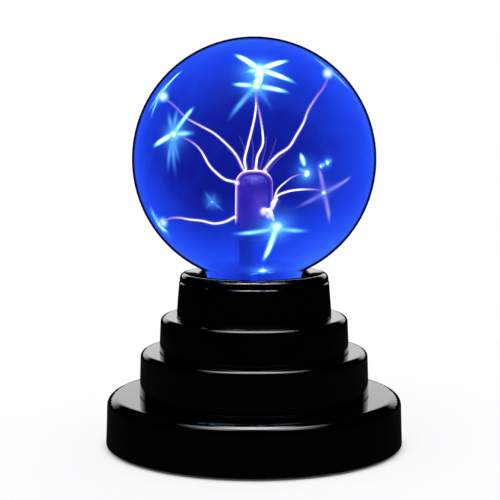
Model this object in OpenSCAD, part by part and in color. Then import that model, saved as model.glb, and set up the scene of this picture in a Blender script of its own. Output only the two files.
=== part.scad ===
// Tabletop plasma ball: a gas-filled glass globe on a stepped round base.
// Millimetres, +Z up, origin on the table under the globe's axis; the sockets face +Y.

/* [Globe] */
// Outside diameter of the glass globe
globe_d = 76.6; // [76:0.2:78]
// Height of the globe's centre above the table
globe_z = 90.8; // [90.4:0.2:92]
// Thickness of the globe's glass
glass_t = 1.3; // [1:0.1:1.4]
// Outside diameter of the globe's neck
neck_d = 30.4; // [30:0.2:30.6]
// Radius of the curve where the globe runs into its neck
neck_curve = 5; // [4:0.5:5.5]

/* [Electrode] */
// Outside diameter of the glass electrode tube
stem_d = 12; // [11.4:0.2:12.4]
// Height of the electrode tube's domed top above the table
stem_top = 87.2; // [80:0.2:95]
// Thickness of the electrode tube's glass
stem_t = 1; // [0.8:0.1:1.2]

/* [Base] */
// Diameter of the lowest tier at its foot
base_d = 94.4; // [94:0.2:96]
// Diameter of the second tier at its foot
lower_d = 73; // [72.6:0.2:74]
// Diameter of the third tier at its foot
middle_d = 60.2; // [59.8:0.2:61]
// Diameter of the collar at its foot
collar_d = 49.2; // [48.8:0.2:49.6]
// Height of the lowest tier
base_h = 15.6; // [15.6:0.2:16.4]
// Height of the second tier
lower_h = 13.9; // [13.6:0.1:14.4]
// Height of the third tier
middle_h = 11.1; // [10.9:0.1:11.6]
// Height of the collar up to the rim's seam
collar_h = 11.1; // [10.9:0.1:11.4]
// Height of the rim above its seam
rim_h = 2.6; // [2.4:0.1:2.8]
// Wall thickness of the moulded tiers
wall = 1.8; // [1.6:0.1:2]

/* [Power] */
// Number of cells side by side in the battery bay
cells = 4; // [3:1:4]
// Length of one cell with its nub
cell_l = 44.5; // [44:0.1:44.5]
// Diameter of one cell
cell_d = 10.4; // [10:0.1:10.4]
// How far the switch knob slides
switch_travel = 3; // [2:0.5:3]
// Angle between the battery door and the cover, 0 when shut
door_open = 0; // [0:5:80]

/* [Hidden] */
$fn = 96;
eps = 0.01;

// Heights, from the table up.
foot_proud = 0.8;
z_lower = foot_proud + base_h;
z_middle = z_lower + lower_h;
z_collar = z_middle + middle_h;
z_rim = z_collar + collar_h;
z_top = z_rim + rim_h;

// Moulded tiers: radii at the foot, draft, edge rounding and ledge thickness.
base_r = base_d / 2;
lower_r = lower_d / 2;
middle_r = middle_d / 2;
collar_r = collar_d / 2;
draft = 0.4;
collar_draft = 0.85;
base_edge = 3.2;
tier_edge = 1.8;
foot_edge = 0.45;
ledge_t = 1.6;
base_opening = 30;
lower_opening = 23;
middle_opening = 17.2;

// Screws that join the tiers from below.
boss_r = 2;
pilot_r = 0.85;
hole_r = 1.15;
head_r = 1.9;
head_h = 1.3;
screw_play = 0.02;
lower_boss_at = 32;
middle_boss_at = 25.6;
collar_boss_at = 20.4;

// Collar and rim.
sleeve_r = 18.4;
seal_outer = 17;
seal_z = 44.5;
seal_h = 7;
web_z = 48;
web_t = 1.4;
rim_r = collar_r - collar_draft - 0.2;
rim_inner = 17.7;
rim_edge = 1.7;
rim_skirt_r = 21.6;
rim_skirt_t = 1.7;
rim_skirt_h = 2.4;
seam_chamfer = 0.3;

// Glass.
globe_r = globe_d / 2;
neck_r = neck_d / 2;
neck_z = 42.2;
curve_r = neck_r + neck_curve;
curve_z = globe_z - sqrt(pow(globe_r + neck_curve, 2) - pow(curve_r, 2));
stem_r = stem_d / 2;
stem_taper = 0.35;
stem_dome = 4;
flare_z = neck_z + 1.2;
flare_curve = 5;
flare_r = neck_r - glass_t;
tip_at = 9.9;
tip_r = 1.7;

// Bottom cover, battery bay and door.
cover_z = foot_proud + 0.4;
cover_t = 1.8;
cover_top = cover_z + cover_t;
cover_r = base_r - wall - 0.25;
cell_pitch = cell_d + 0.5;
bay_w = (cells - 1) * cell_pitch + cell_d + 0.8;
bay_l = 50;
bay_y = -5.5;
bay_wall = 1.2;
bay_top = z_lower - ledge_t - 0.2;
bay_roof = 1;
cell_z = bay_top - bay_roof - 0.2 - cell_d / 2;
nub_r = 1.9;
nub_l = 1;
rebate = 1.8;
door_gap = 0.3;
door_t = 1.5;
door_w = bay_w + 2 * (rebate - door_gap);
door_l = bay_l + 2 * (rebate - door_gap);
knuckle_r = 0.6;
knuckle_play = 0.1;
knuckle_w = 5;
knuckle_x = 14;
pivot_y = bay_y - door_l / 2 - 0.85;
pivot_z = cover_z + knuckle_r - 0.05;
foot_r = 4;
foot_h = 1.2;
foot_at = 39.8;
foot_angles = [42, 138, 218, 322];
cover_screw_at = 39.4;
cover_boss_top = 5;

// Driver board and its parts.
post_h = 3;
board_w = 42;
board_l = 40;
board_t = 1.6;
board_z = bay_top + post_h;
board_top = board_z + board_t;
post_x = 18;
post_y = 16;
coil_x = -3;
coil_y = 4;
leg_w = 5;
leg_t = 2.4;
core_l = 22;
core_h = 16;
coil_z = board_top + 0.5 + core_h / 2;
bobbin_t = 0.9;
flange_t = 0.8;
flange_h = 10.8;
wire_r = 0.55;
hv_r = 1.1;
hv_end = 65.9;
sleeve_low = 57.4;
sleeve_high = 65.6;
hv_sleeve_r = 4.7;
core_foot = 66;
transistor_at = [12.3, -7];
transistor_size = [4.4, 10, 9];
leg_gap = 4;
leg_pitch = 2.54;
sink_at = [15.4, -7];
sink_w = 14;
sink_h = 12.5;
sink_t = 1.4;
sink_fin = 4.4;
can_at = [-15, -10];
can_r = 4;
can_h = 11;
film_at = [[-3, -14], [6.5, -14.5]];
film_size = [[10, 4.6, 8], [5, 3.6, 6.5]];
resistor_r = 1.15;
resistor_l = 6;
resistor_at = [[5, -3.6], [5, -6.6], [5, -9.6], [12.5, 14]];
diode_r = 1;
diode_l = 4;
diode_at = [[-6.4, -5], [-6.4, -8.2]];
tail_r = 0.3;

// Rear recess with the power socket and the switch.
panel_y = 43.6;
panel_w = 34;
panel_h = 8;
panel_z = 8.6;
jack_x = -8;
jack_w = 8;
jack_l = 10;
jack_nose = 2.9;
jack_bore = 1.9;
pin_r = 0.65;
pin_l = 7.6;
pin_stub = 0.45;
switch_x = 8;
switch_w = 9.6;
switch_h = 5.6;
switch_l = 5.6;
knob_w = 3.6;
knob_h = 3;
stalk = 2;
stalk_back = 3.2;
cap_proud = 1.9;
rib_h = 0.3;
knob_play_x = 0.3;
knob_play_z = 0.2;
lug_pitch = 2.4;

// Points of an arc about (x, z), for outlines that are turned about Z.
function arc(x, z, r, from, to, n = 12) =
    [for (i = [0:n]) let (a = from + (to - from) * i / n) [x + r * cos(a), z + r * sin(a)]];

// Smooth curve through the given points, for the leads.
function curve_point(a, b, c, d, t) =
    0.5 * (2 * b + (c - a) * t + (2 * a - 5 * b + 4 * c - d) * t * t
        + (3 * b - a - 3 * c + d) * t * t * t);
function smooth_path(p, steps = 4) = concat(
    [for (i = [0:len(p) - 2]) for (k = [0:steps - 1])
        curve_point(p[max(i - 1, 0)], p[i], p[i + 1], p[min(i + 2, len(p) - 1)], k / steps)],
    [p[len(p) - 1]]);
function unit(v) = v / norm(v);
function heading(p, i) = unit(p[min(i + 1, len(p) - 1)] - p[max(i - 1, 0)]);
function side_of(v) = unit(cross(v, abs(v.x) < 0.8 ? [1, 0, 0] : [0, 1, 0]));

// Round wire swept along a path, closed at both ends.
module wire(p, r, sides = 8) {
    n = len(p);
    rings = [for (i = [0:n - 1])
        let (h = heading(p, i), s = side_of(h), u = cross(h, s))
            for (k = [0:sides - 1])
                p[i] + r * (cos(360 * k / sides) * s + sin(360 * k / sides) * u)];
    walls = [for (i = [0:n - 2]) for (k = [0:sides - 1])
        let (a = i * sides + k, b = i * sides + (k + 1) % sides)
            each [[a, b, b + sides], [a, b + sides, a + sides]]];
    near = [[for (k = [sides - 1:-1:0]) k]];
    far = [[for (k = [0:sides - 1]) (n - 1) * sides + k]];
    polyhedron(rings, [for (f = concat(walls, near, far)) [for (i = [len(f) - 1:-1:0]) f[i]]]);
}

// Three places round the axis, starting at an angle.
module three(radius, start) {
    for (i = [0:2]) rotate(start + 120 * i) translate([radius, 0, 0]) children();
}

// A block centred on X and Y, standing on z = 0.
module block(size) {
    translate([-size.x / 2, -size.y / 2, 0]) cube(size);
}

// Cross-head screw with its head at z = 0 pointing down and its shank going up.
module screw(shank_r, length, head = head_r, thick = head_h) {
    difference() {
        union() {
            translate([0, 0, -thick]) cylinder(h = thick, r = head);
            cylinder(h = length, r = shank_r);
        }
        for (a = [0, 90]) rotate(a) translate([0, 0, -thick - eps]) block([2 * head * 0.7, 0.5, 0.8]);
    }
}

// Moulded tier: rounded foot, drafted wall, rounded edge and a ledge with a central opening.
module tier_shell(foot, z, h, edge, opening) {
    top = foot - draft;
    rotate_extrude() polygon(concat(
        [[foot - wall, z]],
        arc(foot - foot_edge, z + foot_edge, foot_edge, -90, 0, 6),
        arc(top - edge, z + h - edge, edge, 0, 90),
        [[opening, z + h], [opening, z + h - ledge_t], [top - wall, z + h - ledge_t]]));
}

// Glass ----------------------------------------------------------------------

module globe_outside(r, neck, bottom) {
    translate([0, 0, globe_z]) sphere(r = r, $fn = 192);
    rotate_extrude($fn = 192) polygon(concat(
        [[0, bottom], [neck, bottom]],
        arc(curve_r, curve_z, curve_r - neck, 180, 180 - acos(curve_r / (globe_r + neck_curve)) - 2, 16),
        [[0, globe_z]]));
}

module globe() {
    color("royalblue", 0.4) difference() {
        globe_outside(globe_r, neck_r, neck_z);
        globe_outside(globe_r - glass_t, neck_r - glass_t, neck_z - 1);
    }
}

// Re-entrant glass tube: domed at the top, flared out to the neck at the bottom.
module electrode_tube() {
    top_r = stem_r - stem_taper;
    bend = stem_r + flare_curve;
    color("mediumpurple", 0.5) rotate_extrude() polygon(concat(
        [[flare_r, flare_z - 1.2], [flare_r, flare_z]],
        arc(bend, flare_z + flare_curve, flare_curve, 270, 180),
        arc(top_r - stem_dome, stem_top - stem_dome, stem_dome, 0, 90),
        [[0, stem_top], [0, stem_top - stem_t]],
        arc(top_r - stem_dome, stem_top - stem_dome, stem_dome - stem_t, 90, 0),
        arc(bend, flare_z + flare_curve, flare_curve + stem_t, 180, 270)));
}

// Plug of fine wire that fills the top of the electrode tube.
module electrode_core() {
    r = stem_r - stem_taper - stem_t - 0.25;
    top = stem_top - stem_t - 0.3;
    round_r = stem_dome - stem_t;
    color("dimgray") rotate_extrude() polygon(concat(
        [[0, core_foot], [r - 0.8, core_foot], [r, core_foot + 0.8]],
        arc(r - round_r, top - round_r, round_r, 0, 90),
        [[0, top]]));
}

// Sealed end of the tube through which the globe was pumped and filled.
module exhaust_tip() {
    color("lightsteelblue", 0.6) translate([tip_at, 0, flare_z - 1.2]) rotate([180, 0, 0])
        rotate_extrude() polygon(concat([[0, 0], [tip_r, 0]],
            arc(0, 2.6, tip_r, 0, 60, 8), [[0.3, 5.4], [0, 5.6]]));
}

// Base shells ----------------------------------------------------------------

module neck_seal() {
    color("#202022") translate([0, 0, seal_z]) difference() {
        cylinder(h = seal_h, r = seal_outer);
        translate([0, 0, -1]) cylinder(h = seal_h + 2, r = neck_r);
    }
}

module collar_rim() {
    color("black") rotate_extrude() polygon(concat(
        [[rim_skirt_r - rim_skirt_t, z_rim - rim_skirt_h], [rim_skirt_r, z_rim - rim_skirt_h],
            [rim_skirt_r, z_rim], [rim_r - seam_chamfer, z_rim], [rim_r, z_rim + seam_chamfer]],
        arc(rim_r - rim_edge, z_top - rim_edge, rim_edge, 0, 90),
        arc(rim_inner + 0.7, z_top - 0.9, 0.7, 90, 180, 6),
        [[rim_inner, z_rim - 0.4], [rim_skirt_r - rim_skirt_t, z_rim - 1.2]]));
}

module collar() {
    top = collar_r - collar_draft;
    color("black") difference() {
        union() {
            rotate_extrude() polygon(concat(
                [[collar_r - wall, z_collar]],
                arc(collar_r - foot_edge, z_collar + foot_edge, foot_edge, -90, 0, 6),
                [[top, z_rim - seam_chamfer], [top - seam_chamfer, z_rim],
                    [rim_skirt_r + 0.1, z_rim], [rim_skirt_r + 0.1, web_z + web_t],
                    [sleeve_r, web_z + web_t], [sleeve_r, seal_z + seal_h],
                    [seal_outer, seal_z + seal_h], [seal_outer, seal_z], [sleeve_r, seal_z],
                    [sleeve_r, web_z], [top - wall, web_z]]));
            three(collar_boss_at, 90) translate([0, 0, z_collar])
                cylinder(h = web_z - z_collar + eps, r = boss_r);
        }
        three(collar_boss_at, 90) translate([0, 0, z_collar - 1]) cylinder(h = 6.5, r = pilot_r);
    }
}

module middle_tier() {
    color("black") difference() {
        union() {
            tier_shell(middle_r, z_middle, middle_h, tier_edge, middle_opening);
            three(middle_boss_at, 30) translate([0, 0, z_middle])
                cylinder(h = middle_h - ledge_t + eps, r = boss_r);
        }
        three(middle_boss_at, 30) translate([0, 0, z_middle - 1]) cylinder(h = 7.5, r = pilot_r);
        three(collar_boss_at, 90) translate([0, 0, z_middle]) cylinder(h = middle_h + 1, r = hole_r);
    }
}

module lower_tier() {
    color("black") difference() {
        union() {
            tier_shell(lower_r, z_lower, lower_h, tier_edge, lower_opening);
            three(lower_boss_at, 90) translate([0, 0, z_lower])
                cylinder(h = lower_h - ledge_t + eps, r = boss_r);
        }
        three(lower_boss_at, 90) translate([0, 0, z_lower - 1]) cylinder(h = 7.5, r = pilot_r);
        three(middle_boss_at, 30) translate([0, 0, z_lower]) cylinder(h = lower_h + 1, r = hole_r);
    }
}

// Raised bar and ring beside the switch, for on and off.
module switch_marks() {
    translate([switch_x - 6.2, panel_y - eps, panel_z - 0.9]) cube([0.5, 0.3, 1.8]);
    translate([switch_x + 6.2, panel_y - eps, panel_z]) rotate([-90, 0, 0]) difference() {
        cylinder(h = 0.3, r = 0.95, $fn = 32);
        translate([0, 0, -1]) cylinder(h = 2, r = 0.5, $fn = 32);
    }
}

module base_housing() {
    panel_low = panel_z - panel_h / 2;
    color("black") difference() {
        union() {
            difference() {
                union() {
                    tier_shell(base_r, foot_proud, base_h, base_edge, base_opening);
                    intersection() {
                        translate([-panel_w / 2 - wall, panel_y - wall, cover_top + 0.2])
                            cube([panel_w + 2 * wall, base_r, z_lower - ledge_t - cover_top - 0.1]);
                        cylinder(h = z_lower, r = base_r - 1);
                    }
                }
                translate([-panel_w / 2, panel_y, panel_low]) cube([panel_w, base_r, panel_h]);
            }
            switch_marks();
            three(cover_screw_at, 30) translate([0, 0, cover_boss_top])
                cylinder(h = z_lower - ledge_t - cover_boss_top + eps, r = 3);
        }
        three(cover_screw_at, 30) translate([0, 0, cover_boss_top - 1]) cylinder(h = 8, r = pilot_r + 0.15);
        three(lower_boss_at, 90) translate([0, 0, z_lower - 3]) cylinder(h = 4, r = hole_r);
        translate([jack_x, panel_y - wall - 1, panel_z]) rotate([-90, 0, 0])
            cylinder(h = wall + 2, r = jack_nose + 0.1);
        translate([switch_x, panel_y + 1, panel_z]) rotate([90, 0, 0])
            block([switch_travel + knob_w + 2 * knob_play_x, knob_h + 2 * knob_play_z, wall + 2]);
    }
}

// Underside ------------------------------------------------------------------

module bottom_cover() {
    color("black") difference() {
        union() {
            translate([0, 0, cover_z]) cylinder(h = cover_t, r = cover_r);
            translate([0, bay_y, cover_top - eps])
                block([bay_w + 2 * bay_wall, bay_l + 2 * bay_wall, bay_top - cover_top + eps]);
            three(cover_screw_at, 30) translate([0, 0, cover_top - eps])
                cylinder(h = cover_boss_top - cover_top + eps, r = 3.4);
            for (x = [-post_x, post_x], y = [-post_y, post_y]) translate([x, y, bay_top - eps])
                cylinder(h = post_h + eps, r = 2.4);
        }
        translate([0, bay_y, cover_z - 1])
            block([bay_w + 2 * rebate, bay_l + 2 * rebate, 1 + door_t + 0.1]);
        translate([0, bay_y, cover_z]) block([bay_w, bay_l, bay_top - bay_roof - cover_z]);
        for (x = [-post_x, post_x], y = [-post_y, post_y]) translate([x, y, bay_top + 0.3])
            cylinder(h = post_h, r = pilot_r);
        three(cover_screw_at, 30) {
            translate([0, 0, cover_z - 1]) cylinder(h = cover_boss_top, r = 1.3);
            translate([0, 0, cover_z - 1]) cylinder(h = 2.8, r = 2.6);
        }
        for (a = foot_angles) rotate(a) translate([foot_at, 0, cover_z - 1])
            cylinder(h = 1 + foot_h - cover_z + 0.05 + eps, r = foot_r + 0.15);
        for (x = [-knuckle_x, knuckle_x]) translate([x, pivot_y, pivot_z]) {
            rotate([0, 90, 0])
                cylinder(h = knuckle_w + 2 * door_gap, r = knuckle_r + knuckle_play, center = true);
            translate([-knuckle_w / 2 - door_gap, 0, -knuckle_r - 1])
                cube([knuckle_w + 2 * door_gap, 3, 1 + 2 * knuckle_r]);
        }
        // Thumb recess over the door's catch.
        translate([0, bay_y + door_l / 2 + door_gap + 2, cover_z - 1]) cylinder(h = 1.8, r = 5);
        // Slot for the leads in the bay's back wall.
        translate([0, bay_y + bay_l / 2, bay_top - 3]) block([8, 6, 1.5]);
    }
}

module battery_door() {
    pivot = [0, pivot_y, pivot_z];
    color("black") translate(pivot) rotate([-door_open, 0, 0]) translate(-pivot)
        difference() {
            union() {
                translate([0, bay_y, cover_z]) block([door_w, door_l, door_t]);
                for (x = [-knuckle_x, knuckle_x]) translate([x, pivot_y, pivot_z]) {
                    rotate([0, 90, 0]) cylinder(h = knuckle_w, r = knuckle_r, center = true);
                    translate([-knuckle_w / 2, 0, -0.35]) cube([knuckle_w, 1.2, 0.8]);
                }
                // Catch that snaps behind the cover's edge.
                translate([0, bay_y + door_l / 2 - 2.2, cover_z + door_t - eps]) block([8, 1, 1.2]);
            }
            // U-shaped slit that lets the catch flex.
            for (x = [-5.2, 5.2]) translate([x, bay_y + door_l / 2 - 6, cover_z - 1]) cube([0.6, 7, 4]);
            // Grip grooves.
            for (k = [0:3]) translate([0, bay_y + door_l / 2 - 11 - 2.2 * k, cover_z - 1])
                block([16, 0.9, 1.35]);
        }
}

module cell() {
    body = cell_l - nub_l;
    translate([0, -cell_l / 2, 0]) rotate([-90, 0, 0]) {
        cylinder(h = body, r = cell_d / 2);
        translate([0, 0, body - eps]) cylinder(h = nub_l + eps, r = nub_r);
    }
}

module at_cells() {
    for (i = [0:cells - 1]) translate([(i - (cells - 1) / 2) * cell_pitch, bay_y, cell_z])
        rotate(i % 2 == 0 ? 0 : 180) children();
}

module battery_cells() {
    color("goldenrod") at_cells() translate([0, bay_l / 2 - 0.45 - cell_l / 2, 0]) cell();
}

module battery_springs() {
    turns = 3.5;
    steps = 12;
    start = -bay_l / 2 + 0.85;
    finish = bay_l / 2 - 0.45 - cell_l - 0.45;
    color("silver") at_cells() wire([for (i = [0:turns * steps])
        let (t = i / (turns * steps), a = 360 * i / steps, r = 3.4 - 1.6 * t)
            [r * cos(a), start + (finish - start) * t, r * sin(a)]], 0.35, 6);
}

module battery_contacts() {
    color("silver") at_cells() for (y = [-bay_l / 2 + 0.2, bay_l / 2 - 0.2])
        translate([0, y, -4]) block([8, 0.38, 8]);
}

module rubber_feet() {
    color("dimgray") for (a = foot_angles) rotate(a) translate([foot_at, 0, 0])
        rotate_extrude() polygon(concat([[0, 0]], arc(foot_r - 0.3, 0.3, 0.3, -90, 0, 4),
            [[foot_r, foot_h], [0, foot_h]]));
}

module cover_screws() {
    color("silver") three(cover_screw_at, 30) translate([0, 0, cover_z + 1.8])
        screw(pilot_r + 0.15 - screw_play, 8, 2.4, 1.3);
}

module tier_screws() {
    color("silver") {
        three(lower_boss_at, 90) translate([0, 0, z_lower - ledge_t]) screw(pilot_r - screw_play, 7);
        three(middle_boss_at, 30) translate([0, 0, z_middle - ledge_t]) screw(pilot_r - screw_play, 7);
        three(collar_boss_at, 90) translate([0, 0, z_collar - ledge_t]) screw(pilot_r - screw_play, 6);
    }
}

// Driver ---------------------------------------------------------------------

module driver_board() {
    color("peru") difference() {
        translate([0, 0, board_z]) block([board_w, board_l, board_t]);
        for (x = [-post_x, post_x], y = [-post_y, post_y]) translate([x, y, board_z - 1])
            cylinder(h = board_t + 2, r = hole_r);
    }
}

module board_screws() {
    color("silver") for (x = [-post_x, post_x], y = [-post_y, post_y]) translate([x, y, board_top])
        rotate([180, 0, 0]) screw(pilot_r - screw_play, board_t + 2.4, 1.8, 1.1);
}

// Two E-shaped halves that meet in the middle of the winding.
module ferrite_core() {
    color("#3a3a3c") for (side = [0, 180]) translate([coil_x, coil_y, coil_z]) rotate(side)
        translate([0.03, -leg_w / 2, 0]) {
            for (z = [-core_h / 2, -leg_t, core_h / 2 - leg_t]) translate([0, 0, z])
                cube([core_l / 2, leg_w, z == -leg_t ? 2 * leg_t : leg_t]);
            translate([core_l / 2 - leg_t - 0.4, 0, -core_h / 2]) cube([leg_t + 0.4, leg_w, core_h]);
        }
}

module winding(from, to, half) {
    hole = leg_t + 0.1 + bobbin_t;
    hole_y = leg_w / 2 + 0.1 + bobbin_t;
    translate([coil_x + from, coil_y, coil_z]) rotate([90, 0, 90]) linear_extrude(to - from) difference() {
        hull() for (y = [-1, 1], z = [-1, 1])
            translate([y * (half + 0.1 - 1), z * (half - 1)]) circle(r = 1, $fn = 24);
        square([2 * hole_y, 2 * hole], center = true);
    }
}

module coil_bobbin() {
    tube = [leg_w / 2 + 0.1, leg_t + 0.1];
    span = core_l / 2 - leg_t - 0.4 - 0.15;
    color("ivory") translate([coil_x, coil_y, coil_z]) rotate([90, 0, 90]) difference() {
        union() {
            translate([-tube.x - bobbin_t, -tube.y - bobbin_t, -span])
                cube([2 * (tube.x + bobbin_t), 2 * (tube.y + bobbin_t), 2 * span]);
            for (x = [-span, -3.2, 2.4, span - flange_t])
                translate([-flange_h / 2, -flange_h / 2, x]) cube([flange_h, flange_h, flange_t]);
        }
        translate([-tube.x, -tube.y, -span - 1]) cube([2 * tube.x, 2 * tube.y, 2 * span + 2]);
    }
}

module primary_winding() {
    color("sienna") winding(-core_l / 2 + leg_t + 0.6 + flange_t, -3.25, 4.6);
}

module secondary_winding() {
    color("peru") {
        winding(-2.35, 2.35, 4.9);
        winding(3.25, core_l / 2 - leg_t - 0.6 - flange_t, 4.9);
    }
}

module power_transistor() {
    color("#26282b") translate([transistor_at.x, transistor_at.y, board_top]) {
        translate([0, 0, leg_gap]) block(transistor_size);
        for (y = [-leg_pitch, 0, leg_pitch]) translate([0.6, y, 0]) block([0.6, 0.9, leg_gap + 0.2]);
    }
}

module heat_sink() {
    color("silver") translate([sink_at.x, sink_at.y, board_top + 1]) {
        block([sink_t, sink_w, sink_h]);
        for (side = [-1, 1]) translate([-2.8, side * (sink_w - sink_t) / 2, 0])
            block([sink_fin, sink_t, sink_h]);
    }
}

module supply_capacitor() {
    color("#1c2f6b") translate([can_at.x, can_at.y, board_top]) rotate_extrude() polygon(concat(
        [[0, 0], [can_r - 0.4, 0], [can_r, 0.5], [can_r, 1.4], [can_r - 0.25, 1.7], [can_r, 2]],
        arc(can_r - 0.4, can_h - 0.4, 0.4, 0, 90, 4), [[0, can_h]]));
}

module film_capacitors() {
    color("#a5361f") for (i = [0, 1]) translate([film_at[i].x, film_at[i].y, board_top])
        block(film_size[i]);
}

// Part that lies along X on the board, on two bent tails that reach down to it.
module axial_part(r, length) {
    span = length + 4;
    rotate([0, 90, 0]) cylinder(h = length, r = r, center = true, $fn = 32);
    for (s = [-1, 1]) {
        translate([s * (length / 2 + span / 2) / 2, 0, 0]) rotate([0, 90, 0])
            cylinder(h = (span - length) / 2 + 2 * tail_r, r = tail_r, center = true, $fn = 16);
        translate([s * span / 2, 0, -r - 0.1]) cylinder(h = r + 0.1 + tail_r, r = tail_r, $fn = 16);
    }
}

module resistors() {
    color("tan") for (p = resistor_at) translate([p.x, p.y, board_top + resistor_r + 0.25])
        axial_part(resistor_r, resistor_l);
}

module diodes() {
    color("#3b3b3b") for (p = diode_at) translate([p.x, p.y, board_top + diode_r + 0.25])
        axial_part(diode_r, diode_l);
}

// Leads ----------------------------------------------------------------------

module hv_lead() {
    start = [coil_x + 6.4, coil_y + 5.9, coil_z];
    route = [start, start + [0, 2.4, 0.6], start + [-0.4, 2.6, 4], [2.6, 6, 38.5], [0.6, 1.6, 43],
        [0, 0, 48], [0, 0, 57], [0, 0, hv_end]];
    color("crimson") wire(smooth_path(route), hv_r, 12);
}

module hv_sleeve() {
    height = sleeve_high - sleeve_low;
    color("#2a2a32") translate([0, 0, sleeve_low]) difference() {
        cylinder(h = height, r = hv_sleeve_r);
        translate([0, 0, -1]) cylinder(h = height + 2, r = hv_r + 0.2);
    }
}

// Socket pin to the switch, battery to the socket pin, and switch to the board.
module red_leads() {
    color("red") {
        wire(smooth_path([[jack_x, 30.9, panel_z + 1.05], [jack_x, 28.4, panel_z + 1.2],
            [-5.5, 27.6, 9.8], [-1, 27.4, 9], [3, 29.6, 7.9], [switch_x - lug_pitch, 32.2, 7.75],
            [switch_x - lug_pitch, 35, 7.72]]), wire_r);
        wire(smooth_path([[3, 19.55, 12.4], [3, 23.4, 12.4], [1, 24.8, 12], [-4, 25, 10.6],
            [-8.6, 26.8, 7.4], [jack_x, 28.6, 7.2], [jack_x, 31, 7.55]]), wire_r);
        wire(smooth_path([[switch_x, 35, 9.47], [switch_x, 32, 9.6], [9, 28.6, 12],
            [10.6, 25.2, 17], [11, 21, 21.5], [11, 18.6, 21.2], [11, 18, board_top + 0.05]]), wire_r);
    }
}

// Battery to the socket's side contact, and that contact to the board.
module black_leads() {
    color("#303030") {
        wire(smooth_path([[-3, 19.55, 12.4], [-3, 22.6, 12.6], [-7, 24.4, 13], [-14, 27.6, 11],
            [-16.4, 32, 9], [-15, 35.6, 8.2], [-12.6, 36, 8]]), wire_r);
        wire(smooth_path([[-12.6, 37.6, 9.6], [-15.2, 37.4, 10], [-16.5, 33, 11.2], [-13.4, 26.8, 12.8],
            [-11.4, 24, 15.8], [-10.4, 22.3, 19.5], [-10, 20.2, 21.8], [-10, 18.6, 21.2],
            [-10, 18, board_top + 0.05]]), wire_r);
    }
}

// Socket and switch ----------------------------------------------------------

module jack_body() {
    back = panel_y - wall - jack_l;
    color("#202020") translate([jack_x, 0, panel_z]) difference() {
        union() {
            translate([-jack_w / 2, back, -jack_w / 2 + 0.6]) cube([jack_w, jack_l, jack_w - 1.2]);
            translate([0, back + 1, 0]) rotate([-90, 0, 0]) cylinder(h = jack_l + wall - 1, r = jack_nose);
        }
        translate([0, panel_y - 8.6, 0]) rotate([-90, 0, 0]) cylinder(h = 10, r = jack_bore);
        translate([0, back - 1, 0]) rotate([-90, 0, 0]) cylinder(h = 10, r = pin_stub + screw_play);
    }
}

module jack_pin() {
    seat = panel_y - 8.6;
    color("silver") translate([jack_x, seat, panel_z]) rotate([-90, 0, 0]) {
        cylinder(h = pin_l, r = pin_r);
        translate([0, 0, pin_l - eps]) cylinder(h = 0.3, r1 = pin_r, r2 = pin_r - 0.3);
        translate([0, 0, -4.4]) cylinder(h = 4.4 + eps, r = pin_stub);
    }
}

module switch_body() {
    front = panel_y - wall;
    color("silver") translate([switch_x, 0, panel_z]) difference() {
        union() {
            translate([-switch_w / 2, front - switch_l, -switch_h / 2]) cube([switch_w, switch_l, switch_h]);
            for (x = [-lug_pitch, 0, lug_pitch])
                translate([x - 0.4, front - switch_l - 3, -0.3]) cube([0.8, 3 + eps, 0.6]);
        }
        translate([-switch_travel / 2 - stalk / 2 - 0.2, front - stalk_back - 0.2, -stalk / 2 - 0.15])
            cube([switch_travel + stalk + 0.4, stalk_back + 1, stalk + 0.3]);
    }
}

module switch_knob() {
    front = panel_y - wall;
    color("black") translate([switch_x - switch_travel / 2, 0, panel_z]) {
        translate([-stalk / 2, front - stalk_back, -stalk / 2]) cube([stalk, stalk_back + 0.5, stalk]);
        translate([-knob_w / 2, front + 0.2, -knob_h / 2])
            cube([knob_w, wall - 0.2 + cap_proud - rib_h, knob_h]);
        for (k = [-1:1]) translate([1.2 * k - 0.2, panel_y + cap_proud - rib_h - eps, -knob_h / 2])
            cube([0.4, rib_h + eps, knob_h]);
    }
}

globe();
electrode_tube();
electrode_core();
exhaust_tip();
neck_seal();
collar_rim();
collar();
middle_tier();
lower_tier();
base_housing();
bottom_cover();
battery_door();
battery_cells();
battery_springs();
battery_contacts();
rubber_feet();
cover_screws();
tier_screws();
driver_board();
board_screws();
ferrite_core();
coil_bobbin();
primary_winding();
secondary_winding();
power_transistor();
heat_sink();
supply_capacitor();
film_capacitors();
resistors();
diodes();
hv_lead();
hv_sleeve();
red_leads();
black_leads();
jack_body();
jack_pin();
switch_body();
switch_knob();
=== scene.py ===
"""Looks of the plasma ball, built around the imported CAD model.

Metres; +Z up, the viewer on -Y, the sockets on +Y.
"""

import math

import bpy
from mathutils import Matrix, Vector


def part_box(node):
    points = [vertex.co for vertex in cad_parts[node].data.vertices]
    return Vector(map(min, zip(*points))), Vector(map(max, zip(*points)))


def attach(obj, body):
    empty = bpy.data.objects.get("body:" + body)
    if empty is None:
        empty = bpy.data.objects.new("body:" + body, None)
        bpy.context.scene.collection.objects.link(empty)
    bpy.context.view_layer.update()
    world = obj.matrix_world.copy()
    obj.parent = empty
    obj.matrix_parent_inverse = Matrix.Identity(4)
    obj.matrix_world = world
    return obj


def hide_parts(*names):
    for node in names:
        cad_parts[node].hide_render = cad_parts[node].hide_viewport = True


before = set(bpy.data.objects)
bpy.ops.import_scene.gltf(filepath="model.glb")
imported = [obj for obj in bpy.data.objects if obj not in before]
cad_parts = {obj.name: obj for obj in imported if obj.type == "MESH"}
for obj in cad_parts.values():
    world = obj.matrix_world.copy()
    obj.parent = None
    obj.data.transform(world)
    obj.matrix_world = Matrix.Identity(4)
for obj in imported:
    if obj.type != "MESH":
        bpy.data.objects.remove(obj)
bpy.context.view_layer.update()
scene = bpy.context.scene
MM = 0.001

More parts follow.
